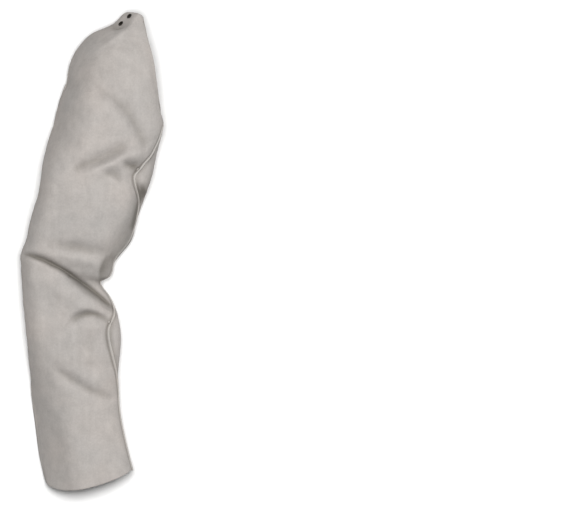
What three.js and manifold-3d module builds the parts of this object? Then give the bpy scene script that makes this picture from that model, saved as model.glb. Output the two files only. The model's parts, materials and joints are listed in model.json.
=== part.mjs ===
// A soft leather welding sleeve, lying on its back panel with the shoulder tip away from the cuff.
// Millimetres, +Z up. +Y runs from the cuff to the shoulder tip, +X points to the underarm seam.
// The origin is on the surface that the sleeve lies on, under the middle of its outline.
import * as THREE from "three";
import { mergeVertices } from "three/addons/utils/BufferGeometryUtils.js";
import Module from "manifold-3d";

// Driving sizes
const sleeve_length = 600;
const cuff_width = 108;
const arm_width = 136;
const tab_width = 28;
const cuff_loft = 60;
const arm_loft = 92;
const tab_loft = 52;
const wall = 2;
const clearance = 0.3;
const seam_turn = 6.5;
const seam_roll = 2;
const seam_reach = 15;
const seam_aim = 0.3;
const welt_thickness = 2.4;
const welt_proud = 1;
const eyelet_flange = 7.2;
const eyelet_bore = 4.2;
const eyelet_shank = 0.5;
const eyelet_rim = 0.7;
const eyelet_pitch = 14;
const eyelet_pad = 7.5;
const pad_blend = 9;

// How finely the leather is faceted
const around_count = 41;
const arm_count = 48;
const shoulder_count = 14;
const front_crowding = 0.3;
const path_steps = 8;
const fold_steps = 16;
const eyelet_sides = 16;
const density_steps = 400;

// Named places: the underarm point, where the seam ends and the armhole starts, and the eyelets
const underarm_at = 0.787;
const eyelet_place = { at: 0.978, across: -0.24 };
const eyelet_heading = 36;

// Shares of a section's loft between which folds fade in, and the cut edge's bow
const fold_fade = { from: 0.15, to: 0.55 };
const bow_fade = { from: 0.1, to: 0.6 };
const bow_power = 0.6;
const bow_skew = 0.35;
const fold_tail = 0.06;

// The sizes that a section row can follow
const followed = {
  cuff: { width: cuff_width, loft: cuff_loft },
  arm: { width: arm_width, loft: arm_loft },
  tab: { width: tab_width, loft: tab_loft },
};

// Sections from the cuff to the shoulder tip. at, offset and lean are shares of the sleeve's
// length, slant is in degrees, width and loft are shares of the sizes followed. seam is how far
// round towards the front the seam lies and pinch how far it is drawn in, as shares of that width.
// open goes from a closed ring to an armhole, tab from the shoulder's round to the tip's ridge.
const sections = table(
  ["at", "offset", "slant", "follows", "width", "loft", "seam", "pinch", "open", "tab", "lean"],
  [
    [0.028, -0.01, 8.0, "cuff", 0.978, 1.0, -0.02, -0.035, 0, 0, -0.023],
    [0.086, -0.023, 6.7, "cuff", 0.963, 1.0, -0.02, -0.035, 0, 0, -0.008],
    [0.15, -0.033, 4.7, "cuff", 0.946, 1.0, -0.015, -0.03, 0, 0, 0],
    [0.206, -0.038, 3.3, "cuff", 0.974, 1.03, 0, -0.02, 0, 0, 0],
    [0.272, -0.038, 2.5, "cuff", 1.054, 1.1, 0.15, 0.02, 0, 0, 0],
    [0.331, -0.04, 0.6, "cuff", 1.094, 1.15, 0.2, 0.04, 0, 0, 0],
    [0.372, -0.045, -2.5, "cuff", 1.065, 1.12, 0.1, 0, 0, 0, 0],
    [0.412, -0.0558, -5.9, "arm", 0.799, 0.73, -0.01, 0, 0, 0, 0],
    [0.444, -0.0662, -8.0, "arm", 0.728, 0.7, 0, 0, 0, 0, 0],
    [0.457, -0.0575, -9.2, "arm", 0.805, 0.72, 0, 0, 0, 0, 0],
    [0.47, -0.0543, -10.4, "arm", 0.839, 0.74, -0.01, 0, 0, 0, 0],
    [0.503, -0.0455, -14.2, "arm", 0.829, 0.8, -0.04, 0, 0, 0, 0],
    [0.551, -0.0228, -15.4, "arm", 0.919, 0.87, -0.03, 0, 0, 0, 0],
    [0.611, -0.004, -14.6, "arm", 0.95, 0.93, 0.05, 0.02, 0, 0, 0],
    [0.671, 0.011, -16.6, "arm", 0.997, 0.98, 0.23, 0.06, 0, 0, 0],
    [0.697, 0.018, -16.1, "arm", 0.995, 0.99, 0.19, 0.06, 0, 0, 0],
    [0.733, 0.028, -15.7, "arm", 0.988, 1.0, 0.07, 0.03, 0, 0, 0],
    [underarm_at, 0.041, -15.9, "arm", 0.975, 1.0, 0.02, 0, 0, 0, 0],
    [0.828, 0.044, -13.0, "arm", 0.9, 0.98, 0, 0, 0.6, 0, 0],
    [0.868, 0.043, -7.8, "arm", 0.816, 0.94, 0, 0, 0.9, 0, 0],
    [0.905, 0.044, -2.5, "arm", 0.727, 0.89, 0, 0, 1, 0.1, 0],
    [0.932, 0.049, -1.3, "tab", 2.97, 1.44, 0, 0, 1, 0.35, 0],
    [0.953, 0.057, 0.6, "tab", 2.35, 1.29, 0, 0, 1, 0.7, 0],
    [0.968, 0.07, 3.2, "tab", 1.62, 1.13, 0, 0, 1, 1, 0.002],
    [0.986, 0.079, 0, "tab", 1.1, 1.0, 0, 0, 1, 1, 0.008],
  ],
);

// Section outlines, counter-clockwise seen from the cuff, starting at the seam or the armhole's
// front edge. across is a share of half the width, up a share of the loft.
const ring_outline = [
  [1.0, 0.55], [0.92, 0.76], [0.64, 0.92], [0.2, 1.0], [-0.42, 1.0], [-0.75, 0.94],
  [-0.9, 0.81], [-1.0, 0.62], [-0.97, 0.3], [-0.86, 0.08], [-0.62, 0], [0, 0], [0.62, 0], [0.92, 0.16],
];
const shoulder_outline = [
  [1.0, 0.8], [0.78, 0.92], [0.35, 1.0], [-0.2, 0.98], [-0.62, 0.83], [-0.9, 0.57],
  [-1.0, 0.36], [-0.92, 0.12], [-0.7, 0], [0, 0], [0.6, 0], [0.96, 0],
];
const tab_outline = [
  [1.0, 0.97], [0.7, 1.0], [0.35, 0.97], [-0.05, 0.88], [-0.45, 0.76], [-0.85, 0.62],
  [-1.0, 0.5], [-0.85, 0.15], [-0.5, 0], [0, 0], [0.5, 0], [1.0, 0],
];

// Folds and dents of the front. Each runs from one place over a bend to another, as shares of the
// sleeve's length and of half the width there. lift and spread are shares of the arm's width, and
// skew widens the flank on the left of the way that it runs.
const folds = table(
  ["name", "start", "bend", "end", "lift", "spread", "skew"],
  [
    ["tip_ridge", [0.99, 0.75], [0.95, 0.3], [0.92, -0.4], 0.03, 0.04, 0],
    ["shoulder_slope", [0.68, -1], [0.76, -1], [0.88, -1], -0.17, 0.19, 0],
    ["armhole_valley", [0.82, -0.2], [0.8, 0.3], [0.73, 0.83], -0.05, 0.08, 0.2],
    ["pillow_valley", [0.66, -0.33], [0.69, 0.1], [0.73, 0.4], -0.05, 0.065, 0],
    ["pillow_ridge", [0.66, -0.1], [0.7, 0.42], [0.735, 0.86], 0.045, 0.065, 0],
    ["pillow_pit", [0.693, 0.4], [0.69, 0.55], [0.703, 0.7], -0.055, 0.07, 0],
    ["pit_tail", [0.665, 0.17], [0.671, 0.35], [0.66, 0.53], -0.025, 0.05, 0],
    ["seam_hollow", [0.655, 0.86], [0.63, 0.98], [0.6, 1.0], -0.06, 0.04, 0],
    ["upper_plateau", [0.625, -0.45], [0.595, 0], [0.545, -0.1], 0.02, 0.16, 0],
    ["elbow_valley", [0.508, -0.33], [0.53, 0.2], [0.52, 0.83], -0.035, 0.07, 0],
    ["elbow_ridge", [0.496, -0.5], [0.506, 0.2], [0.497, 0.9], 0.025, 0.06, 0],
    ["elbow_crease", [0.474, -0.95], [0.477, -0.19], [0.376, 1.02], -0.1, 0.06, 0],
    ["elbow_facet", [0.45, 0.2], [0.425, 0.62], [0.385, 0.95], -0.09, 0.085, 0.5],
    ["forearm_pillow", [0.44, -0.67], [0.427, -0.1], [0.36, 0.5], 0.04, 0.1, 0],
    ["forearm_arch", [0.347, 0], [0.39, 0.4], [0.354, 0.7], -0.05, 0.06, -0.2],
    ["forearm_dent", [0.334, 0.31], [0.29, 0.34], [0.25, 0.43], -0.03, 0.08, 0],
    ["forearm_valley", [0.257, -0.42], [0.22, 0], [0.188, 0.83], -0.04, 0.055, 0],
    ["cuff_slope", [0.26, -1.05], [0.13, -1], [0, -0.9], -0.2, 0.2, 0],
  ],
);

// Where the facets are packed closer along the sleeve
const dense_places = table(
  ["at", "reach", "gain"],
  [
    [0.36, 0.03, 1.2],
    [0.45, 0.03, 2.2],
    [0.69, 0.04, 1.1],
    [0.985, 0.04, 2.2],
  ],
);

function table(columns, rows) {
  return rows.map((row) => Object.fromEntries(columns.map((name, k) => [name, row[k]])));
}

const smooth_step = (value, low, high) => THREE.MathUtils.smoothstep(value, low, high);
const bell = (value) => Math.exp(-value * value);

// Section rows in millimetres
const rows = sections.map((row) => {
  const size = followed[row.follows];
  const width = row.width * size.width;
  return {
    at: row.at,
    x: row.offset * sleeve_length,
    slant: THREE.MathUtils.degToRad(row.slant),
    half: width / 2,
    loft: row.loft * size.loft,
    seam: row.seam * width,
    pinch: row.pinch * width,
    open: row.open,
    tab: row.tab,
    lean: row.lean * sleeve_length,
  };
});

// One column's value at a place along the sleeve, on a smooth curve through the rows
function value_along(column, at) {
  let k = 0;
  while (k < rows.length - 2 && at > rows[k + 1].at) k += 1;
  const before = rows[Math.max(k - 1, 0)];
  const low = rows[k];
  const high = rows[k + 1];
  const after = rows[Math.min(k + 2, rows.length - 1)];
  const span = high.at - low.at;
  const rise = (from, to) => ((to[column] - from[column]) / (to.at - from.at)) * span;
  const t = (at - low.at) / span;
  const start = (1 + 2 * t) * (1 - t) ** 2 * low[column] + t * (1 - t) ** 2 * rise(before, high);
  const end = t * t * (3 - 2 * t) * high[column] + t * t * (t - 1) * rise(low, after);
  return start + end;
}

// The section's frame at a place along the sleeve
function section_frame(at) {
  const frame = { at };
  for (const column of ["x", "slant", "half", "loft", "seam", "pinch", "open", "tab", "lean"]) {
    frame[column] = value_along(column, at);
  }
  frame.open = at <= underarm_at ? 0 : THREE.MathUtils.clamp(frame.open, 0, 1);
  frame.tab = THREE.MathUtils.clamp(frame.tab, 0, 1);
  return frame;
}

// A place in plan, from a frame, a distance across and a distance along
function plan_point(frame, across, forward) {
  const cos = Math.cos(frame.slant);
  const sin = Math.sin(frame.slant);
  return {
    x: frame.x + across * cos - forward * sin,
    y: frame.at * sleeve_length + across * sin + forward * cos,
  };
}

// A smooth path through an outline's points, as short straight steps with their running length
function smooth_path(outline, frame, closed) {
  const corners = outline.map(([across, up]) => (
    new THREE.Vector3(across * frame.half, up * frame.loft, 0)
  ));
  const curve = new THREE.CatmullRomCurve3(corners, closed, "centripetal");
  const points = curve.getPoints(path_steps * outline.length);
  for (const point of points) point.y = Math.max(point.y, 0);
  const lengths = [0];
  for (let k = 1; k < points.length; k += 1) {
    lengths.push(lengths[k - 1] + points[k].distanceTo(points[k - 1]));
  }
  return { points, lengths, total: lengths[points.length - 1], closed };
}

// The point at a length along a path
function walk(path, length) {
  const wrapped = path.closed ? THREE.MathUtils.euclideanModulo(length, path.total) : length;
  const reach = THREE.MathUtils.clamp(wrapped, 0, path.total);
  let k = 1;
  while (k < path.lengths.length - 1 && path.lengths[k] < reach) k += 1;
  const from = path.points[k - 1];
  const to = path.points[k];
  const share = (reach - path.lengths[k - 1]) / (path.lengths[k] - path.lengths[k - 1]);
  return new THREE.Vector2(from.x, from.y).lerp(new THREE.Vector2(to.x, to.y), share);
}

// Folds as short straight steps in plan
const fold_lines = folds.map((fold) => {
  const [start, bend, end] = [fold.start, fold.bend, fold.end].map(([at, across]) => {
    const frame = section_frame(at);
    const place = plan_point(frame, across * frame.half, 0);
    return new THREE.Vector2(place.x, place.y);
  });
  const points = new THREE.QuadraticBezierCurve(start, bend, end).getPoints(fold_steps);
  return {
    points,
    lift: fold.lift * arm_width,
    left: fold.spread * arm_width * (1 + fold.skew),
    right: fold.spread * arm_width * (1 - fold.skew),
  };
});

// How far the folds raise or sink the front at a place in plan
function fold_lift(place) {
  let lift = 0;
  for (const line of fold_lines) {
    let best = { distance: Infinity };
    for (let k = 1; k < line.points.length; k += 1) {
      const from = line.points[k - 1];
      const step = new THREE.Vector2().subVectors(line.points[k], from);
      const gone = new THREE.Vector2(place.x - from.x, place.y - from.y);
      const share = THREE.MathUtils.clamp(gone.dot(step) / step.lengthSq(), 0, 1);
      const off = gone.clone().addScaledVector(step, -share);
      if (off.length() < best.distance) {
        best = {
          distance: off.length(),
          spread: step.cross(off) > 0 ? line.left : line.right,
          gone: (k - 1 + share) / fold_steps,
        };
      }
    }
    const fade = Math.sqrt(Math.sin(Math.PI * THREE.MathUtils.lerp(fold_tail, 1 - fold_tail, best.gone)));
    lift += line.lift * fade * bell(best.distance / best.spread);
  }
  return lift;
}

// A point of the section in space: folds lift the front, and the cut ends bow out at the crown
function place_point(frame, across, up, source) {
  const share = source.up / frame.loft;
  const front = smooth_step(share, fold_fade.from, fold_fade.to);
  const side = THREE.MathUtils.clamp(source.across / frame.half, -1, 1);
  const bow = (1 - side * side) ** bow_power * (1 - bow_skew * side);
  const forward = frame.lean * bow * smooth_step(share, bow_fade.from, bow_fade.to);
  const plan = plan_point(frame, across, forward);
  const under = plan_point(frame, source.across, 0);
  return new THREE.Vector3(plan.x, plan.y, Math.max(up + front * fold_lift(under), 0));
}

// The seam's place in one section, its outward side away from the section's middle, and the
// direction across it towards the front panel edge
function seam_place(frame) {
  const path = smooth_path(ring_outline, frame, true);
  const start = frame.seam;
  const point = walk(path, start);
  const outward = new THREE.Vector2(point.x, point.y - seam_aim * frame.loft).normalize();
  const direction = new THREE.Vector2(-outward.y, outward.x);
  point.addScaledVector(outward, -frame.pinch);
  return { path, start, point, direction, outward };
}

// A point beside the seam: aside along the ring, and out from it
function beside_seam(frame, seam, aside, out) {
  const spot = seam.point.clone();
  spot.addScaledVector(seam.direction, aside).addScaledVector(seam.outward, out);
  return place_point(frame, spot.x, spot.y, { across: seam.point.x, up: seam.point.y });
}

// The leather's outer face in one section, from the front edge round to the back edge
const slot = welt_thickness / 2 + clearance;
const lip = [
  { aside: slot, out: -seam_turn, flat: 0 },
  { aside: slot, out: -seam_roll, flat: seam_turn - seam_roll },
  {
    aside: slot + seam_roll * (1 - Math.SQRT1_2),
    out: -seam_roll * (1 - Math.SQRT1_2),
    flat: seam_turn - seam_roll + (seam_roll * Math.PI) / 4,
  },
];
const lip_flat = seam_turn - seam_roll + (seam_roll * Math.PI) / 2;

// Shares along the ring between the lips, a little closer together on the front
function ring_shares() {
  const count = around_count - 2 * lip.length;
  return Array.from({ length: count }, (_, k) => {
    const t = k / (count - 1);
    return t * (1 - front_crowding + front_crowding * t);
  });
}

function closed_section(frame) {
  const seam = seam_place(frame);
  const first = slot + seam_roll;
  const middle = ring_shares().map((share) => {
    const gone = THREE.MathUtils.lerp(first, seam.path.total - first, share);
    const point = walk(seam.path, seam.start + gone);
    const near = Math.min(gone, seam.path.total - gone);
    point.addScaledVector(seam.outward, -frame.pinch * bell(near / seam_reach));
    point.y = Math.max(point.y, 0);
    return place_point(frame, point.x, point.y, { across: point.x, up: point.y });
  });
  const front = lip.map(({ aside, out }) => beside_seam(frame, seam, aside, out));
  const back = lip.map(({ aside, out }) => beside_seam(frame, seam, -aside, out));
  return [...front, ...middle, ...back.reverse()];
}

function open_section(frame) {
  const outline = shoulder_outline.map(([across, up], k) => [
    THREE.MathUtils.lerp(across, tab_outline[k][0], frame.tab),
    THREE.MathUtils.lerp(up, tab_outline[k][1], frame.tab),
  ]);
  const path = smooth_path(outline, frame, false);
  const ends = lip.map(({ flat }) => flat);
  const middle = ring_shares().map((share) => THREE.MathUtils.lerp(lip_flat, path.total - lip_flat, share));
  const lengths = [...ends, ...middle, ...ends.map((flat) => path.total - flat).reverse()];
  return lengths.map((length) => {
    const point = walk(path, length);
    return place_point(frame, point.x, point.y, { across: point.x, up: point.y });
  });
}

function outer_section(at) {
  const frame = section_frame(at);
  const closed = closed_section(frame);
  if (frame.open === 0) return closed;
  return open_section(frame).map((point, k) => closed[k].lerp(point, frame.open));
}

// Places along the sleeve, closer together where the folds are sharp
function stations(from, to, count) {
  const gone = [0];
  const at_step = (k) => THREE.MathUtils.lerp(from, to, k / density_steps);
  for (let k = 1; k <= density_steps; k += 1) {
    let density = 1;
    for (const place of dense_places) density += place.gain * bell((at_step(k) - place.at) / place.reach);
    gone.push(gone[k - 1] + density);
  }
  return Array.from({ length: count }, (_, n) => {
    const goal = (n / (count - 1)) * gone[density_steps];
    const k = Math.max(gone.findIndex((value) => value >= goal), 1);
    return at_step(k - 1 + (goal - gone[k - 1]) / (gone[k] - gone[k - 1]));
  });
}

const first_at = rows[0].at;
const last_at = rows[rows.length - 1].at;
const arm_stations = stations(first_at, underarm_at, arm_count);
const shoulder_stations = stations(underarm_at, last_at, shoulder_count).slice(1);

// The outward direction at each point of a grid
function grid_normals(grid) {
  const last_row = grid.length - 1;
  const last = grid[0].length - 1;
  return grid.map((row, j) => row.map((_, i) => {
    const along = new THREE.Vector3().subVectors(
      grid[Math.min(j + 1, last_row)][i],
      grid[Math.max(j - 1, 0)][i],
    );
    const round = new THREE.Vector3().subVectors(row[Math.min(i + 1, last)], row[Math.max(i - 1, 0)]);
    return along.cross(round).normalize();
  }));
}

// A closed body between an outer and an inner grid of the same size
function body_between(outer, inner) {
  const height = outer.length;
  const width = outer[0].length;
  const positions = [...outer.flat(), ...inner.flat()].flatMap((point) => [point.x, point.y, point.z]);
  const near = (j, i) => j * width + i;
  const far = (j, i) => (height + j) * width + i;
  const index = [];
  const quad = (a, b, c, d) => index.push(a, b, c, a, c, d);
  for (let j = 0; j < height - 1; j += 1) {
    for (let i = 0; i < width - 1; i += 1) {
      quad(near(j, i), near(j + 1, i), near(j + 1, i + 1), near(j, i + 1));
      quad(far(j, i), far(j, i + 1), far(j + 1, i + 1), far(j + 1, i));
    }
    quad(near(j + 1, 0), near(j, 0), far(j, 0), far(j + 1, 0));
    quad(near(j, width - 1), near(j + 1, width - 1), far(j + 1, width - 1), far(j, width - 1));
  }
  for (let i = 0; i < width - 1; i += 1) {
    quad(near(0, i), near(0, i + 1), far(0, i + 1), far(0, i));
    quad(near(height - 1, i + 1), near(height - 1, i), far(height - 1, i), far(height - 1, i + 1));
  }
  const geometry = new THREE.BufferGeometry();
  geometry.setAttribute("position", new THREE.Float32BufferAttribute(positions, 3));
  geometry.setIndex(index);
  return geometry;
}

// The flat pad of the shoulder tip that carries the two eyelets
function find_pad(grid) {
  const frame = section_frame(eyelet_place.at);
  const place = plan_point(frame, eyelet_place.across * frame.half, 0);
  const heading = THREE.MathUtils.degToRad(eyelet_heading);
  const normals = grid_normals(grid);
  const centre = new THREE.Vector3();
  const normal = new THREE.Vector3();
  let total = 0;
  grid.forEach((row, j) => row.forEach((point, i) => {
    const off = Math.hypot(point.x - place.x, point.y - place.y);
    const weight = normals[j][i].z > 0 ? bell(off / eyelet_pad) : 0;
    centre.addScaledVector(point, weight);
    normal.addScaledVector(normals[j][i], weight);
    total += weight;
  }));
  centre.divideScalar(total);
  normal.normalize();
  const height = ((centre.x - place.x) * normal.x + (centre.y - place.y) * normal.y) / normal.z;
  const middle = new THREE.Vector3(place.x, place.y, centre.z + height);
  const along = new THREE.Vector3(Math.cos(heading), Math.sin(heading), 0);
  along.addScaledVector(normal, -along.dot(normal)).normalize();
  return { middle, normal, along };
}

// Points near the eyelets move onto the pad's plane
function flatten_pad(grid, pad) {
  for (const point of grid.flat()) {
    const off = new THREE.Vector3().subVectors(point, pad.middle);
    const height = off.dot(pad.normal);
    const gone = THREE.MathUtils.clamp(off.dot(pad.along), -eyelet_pitch / 2, eyelet_pitch / 2);
    const distance = off.addScaledVector(pad.along, -gone).length();
    const weight = 1 - smooth_step(distance, eyelet_pad, eyelet_pad + pad_blend);
    point.addScaledVector(pad.normal, -height * weight);
  }
}

// A closed mesh as a solid for cutting, and back
const wasm = await Module();
wasm.setup();

function solid_from(geometry) {
  const bare = geometry.clone();
  bare.deleteAttribute("normal");
  bare.deleteAttribute("uv");
  const merged = mergeVertices(bare);
  return new wasm.Manifold(new wasm.Mesh({
    numProp: 3,
    vertProperties: new Float32Array(merged.attributes.position.array),
    triVerts: new Uint32Array(merged.index.array),
  }));
}

function geometry_from(solid) {
  const mesh = solid.getMesh();
  const geometry = new THREE.BufferGeometry();
  geometry.setAttribute("position", new THREE.BufferAttribute(mesh.vertProperties, 3));
  geometry.setIndex(new THREE.BufferAttribute(mesh.triVerts, 1));
  return geometry;
}

// Eyelet centres on the pad, the lower one first
function eyelet_seat(pad, side) {
  const centre = pad.middle.clone().addScaledVector(pad.along, (side * eyelet_pitch) / 2);
  const turn = new THREE.Quaternion().setFromUnitVectors(new THREE.Vector3(0, 1, 0), pad.normal);
  return { centre, turn };
}

const barrel = eyelet_bore / 2 + eyelet_shank;

// A turned eyelet that grips the leather between its two flanges, its axis along Y
function make_eyelet(name, seat) {
  const bore = eyelet_bore / 2;
  const flange = eyelet_flange / 2;
  const under = -wall - clearance;
  const profile = [
    [bore, clearance + eyelet_rim],
    [bore, under - eyelet_rim],
    [flange, under - eyelet_rim],
    [flange, under],
    [barrel, under],
    [barrel, clearance],
    [flange, clearance],
    [flange - eyelet_rim / 2, clearance + eyelet_rim],
    [bore, clearance + eyelet_rim],
  ].map(([radius, height]) => new THREE.Vector2(radius, height));
  const mesh = new THREE.Mesh(new THREE.LatheGeometry(profile, eyelet_sides), blackened_metal);
  mesh.name = name;
  mesh.position.copy(seat.centre);
  mesh.quaternion.copy(seat.turn);
  return mesh;
}

// The leather with a punched hole for each eyelet
function make_panel(outer, seats) {
  const normals = grid_normals(outer);
  const inner = outer.map((row, j) => row.map((point, i) => (
    point.clone().addScaledVector(normals[j][i], -wall)
  )));
  let solid = solid_from(body_between(outer, inner));
  for (const { centre, turn } of seats) {
    const punch = new THREE.CylinderGeometry(barrel + clearance, barrel + clearance, 6 * wall, eyelet_sides);
    punch.applyQuaternion(turn);
    punch.translate(centre.x, centre.y, centre.z);
    solid = solid.subtract(solid_from(punch));
  }
  const mesh = new THREE.Mesh(geometry_from(solid), split_leather);
  mesh.name = "sleeve_panel";
  return mesh;
}

// The leather strip held in the seam, from the cuff to the underarm point
function make_welt() {
  const edges = arm_stations.map((at) => {
    const frame = section_frame(at);
    return { frame, seam: seam_place(frame) };
  });
  const face = (aside) => edges.map(({ frame, seam }) => (
    [-seam_turn, -seam_roll, welt_proud].map((out) => beside_seam(frame, seam, aside, out))
  ));
  const geometry = body_between(face(-welt_thickness / 2), face(welt_thickness / 2));
  const mesh = new THREE.Mesh(geometry, welt_leather);
  mesh.name = "seam_welt";
  return mesh;
}

const split_leather = new THREE.MeshStandardMaterial({ color: 0xbbb5af, roughness: 0.95, metalness: 0 });
const welt_leather = new THREE.MeshStandardMaterial({ color: 0xcac4bc, roughness: 0.9, metalness: 0 });
const blackened_metal = new THREE.MeshStandardMaterial({ color: 0x2c2924, roughness: 0.45, metalness: 0.9 });

const outer_face = [...arm_stations, ...shoulder_stations].map(outer_section);
const pad = find_pad(outer_face);
flatten_pad(outer_face, pad);
const lower_seat = eyelet_seat(pad, -1);
const upper_seat = eyelet_seat(pad, 1);

const sleeve = new THREE.Group();
sleeve.add(make_panel(outer_face, [lower_seat, upper_seat]));
sleeve.add(make_welt());
sleeve.add(make_eyelet("eyelet_lower", lower_seat));
sleeve.add(make_eyelet("eyelet_upper", upper_seat));

// The outline's middle goes over the origin
const reach = new THREE.Box3().setFromObject(sleeve);
const middle = reach.getCenter(new THREE.Vector3());
sleeve.position.set(-middle.x, -middle.y, 0);

export default sleeve;
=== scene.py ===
# A leather welding sleeve lying on its back panel, in metres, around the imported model.
# +Y runs from the cuff to the shoulder tip, +X points to the underarm seam, +Z is up.
import json
import math
import random
from itertools import zip_longest

import bmesh
import bpy
import numpy as np
from bpy.props import FloatProperty, FloatVectorProperty, PointerProperty
from mathutils import Matrix, Vector


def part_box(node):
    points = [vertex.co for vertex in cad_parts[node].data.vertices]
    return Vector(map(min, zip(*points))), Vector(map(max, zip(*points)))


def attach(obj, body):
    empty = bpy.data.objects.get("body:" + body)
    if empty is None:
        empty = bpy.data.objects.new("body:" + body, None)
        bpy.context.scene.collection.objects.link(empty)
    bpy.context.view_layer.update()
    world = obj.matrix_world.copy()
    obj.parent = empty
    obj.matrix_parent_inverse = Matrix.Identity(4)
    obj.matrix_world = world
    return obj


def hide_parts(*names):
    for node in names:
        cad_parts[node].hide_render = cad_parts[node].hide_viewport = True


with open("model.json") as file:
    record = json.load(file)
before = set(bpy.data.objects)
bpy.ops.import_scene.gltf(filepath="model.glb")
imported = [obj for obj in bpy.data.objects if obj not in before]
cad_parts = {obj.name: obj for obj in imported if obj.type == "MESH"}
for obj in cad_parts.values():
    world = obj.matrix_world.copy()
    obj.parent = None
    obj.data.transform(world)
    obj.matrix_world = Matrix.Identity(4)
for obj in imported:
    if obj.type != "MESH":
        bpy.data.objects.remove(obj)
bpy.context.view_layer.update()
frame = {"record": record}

bl_info = {
    "name": "Leather Welding Sleeve",
    "version": (1, 0, 0),
    "blender": (4, 5, 0),
    "location": "3D View > Sidebar > Sleeve",
    "description": "Builds a split-leather welding sleeve with its welted seam, stitches and eyelets",
    "category": "Add Mesh",
}

# Where the seam ends at the underarm, as a share of the sleeve's length
UNDERARM_AT = 0.787

# Sections from the cuff to the shoulder tip. at, offset and lean are shares of the sleeve's
# length, slant is in degrees, width and loft are shares of the sizes followed. seam is how far
# round towards the front the seam lies and pinch how far it is drawn in, as shares of that width.
# A seam below nought lies under the widest point, and a pinch below nought pushes it out. open
# goes from a closed ring to an armhole, tab from the shoulder's round to the tip's ridge, and lean
# is how far the crown leans along the sleeve. Noughts at the end of a row are left out.
SECTION_COLUMNS = (
    "at", "offset", "slant", "follows", "width", "loft", "seam", "pinch", "open", "tab", "lean",
)
SECTIONS = (
    (0.028, -0.01, 8.0, "cuff", 0.978, 1.0, -0.02, -0.035, 0, 0, -0.023),
    (0.086, -0.023, 6.7, "cuff", 0.963, 1.0, -0.02, -0.035, 0, 0, -0.008),
    (0.15, -0.033, 4.7, "cuff", 0.946, 1.0, -0.015, -0.03),
    (0.206, -0.038, 3.3, "cuff", 0.974, 1.03, 0, -0.02),
    (0.272, -0.038, 2.5, "cuff", 1.054, 1.1, 0.15, 0.02),
    (0.331, -0.04, 0.6, "cuff", 1.094, 1.15, 0.2, 0.04),
    (0.372, -0.045, -2.5, "cuff", 1.065, 1.12, 0.1),
    (0.412, -0.0558, -5.9, "arm", 0.799, 0.73, -0.01),
    (0.444, -0.0662, -8.0, "arm", 0.728, 0.7),
    (0.457, -0.0575, -9.2, "arm", 0.805, 0.72),
    (0.47, -0.0543, -10.4, "arm", 0.839, 0.74, -0.01),
    (0.503, -0.0455, -14.2, "arm", 0.829, 0.8, -0.04),
    (0.551, -0.0228, -15.4, "arm", 0.919, 0.87, -0.03),
    (0.611, -0.004, -14.6, "arm", 0.95, 0.93, 0.05, 0.02),
    (0.671, 0.011, -16.6, "arm", 0.997, 0.98, 0.23, 0.06),
    (0.697, 0.018, -16.1, "arm", 0.995, 0.99, 0.18, 0.055),
    (0.733, 0.028, -15.7, "arm", 0.988, 1.0, 0.09, 0.025),
    (UNDERARM_AT, 0.041, -15.9, "arm", 0.975, 1.0, 0.035),
    (0.828, 0.044, -13.0, "arm", 0.9, 0.98, 0, 0, 0.6),
    (0.868, 0.043, -7.8, "arm", 0.816, 0.94, 0, 0, 0.9),
    (0.905, 0.044, -2.5, "arm", 0.727, 0.89, 0, 0, 1, 0.1),
    (0.932, 0.049, -1.3, "tab", 2.97, 1.44, 0, 0, 1, 0.35),
    (0.953, 0.057, 0.6, "tab", 2.35, 1.29, 0, 0, 1, 0.7),
    (0.968, 0.0725, 3.2, "tab", 1.51, 1.13, 0, 0, 1, 1, 0.002),
    (0.986, 0.0825, 0, "tab", 0.95, 1.0, 0, 0, 1, 1, 0.008),
)

# Section outlines, counter-clockwise seen from the cuff, starting at the seam or the armhole's
# front edge. across is a share of half the width, up a share of the loft.
RING_OUTLINE = (
    (1.0, 0.55), (0.92, 0.76), (0.64, 0.92), (0.2, 1.0), (-0.42, 1.0), (-0.75, 0.94),
    (-0.9, 0.81), (-1.0, 0.62), (-0.97, 0.3), (-0.86, 0.08), (-0.62, 0), (0, 0), (0.62, 0), (0.92, 0.16),
)
SHOULDER_OUTLINE = (
    (1.0, 0.8), (0.78, 0.92), (0.35, 1.0), (-0.2, 0.98), (-0.62, 0.83), (-0.9, 0.57),
    (-1.0, 0.36), (-0.92, 0.12), (-0.7, 0), (0, 0), (0.6, 0), (0.96, 0),
)
TAB_OUTLINE = (
    (1.0, 0.97), (0.7, 1.0), (0.35, 0.97), (-0.05, 0.88), (-0.45, 0.76), (-0.85, 0.62),
    (-1.0, 0.5), (-0.85, 0.15), (-0.5, 0), (0, 0), (0.5, 0), (1.0, 0),
)

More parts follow.
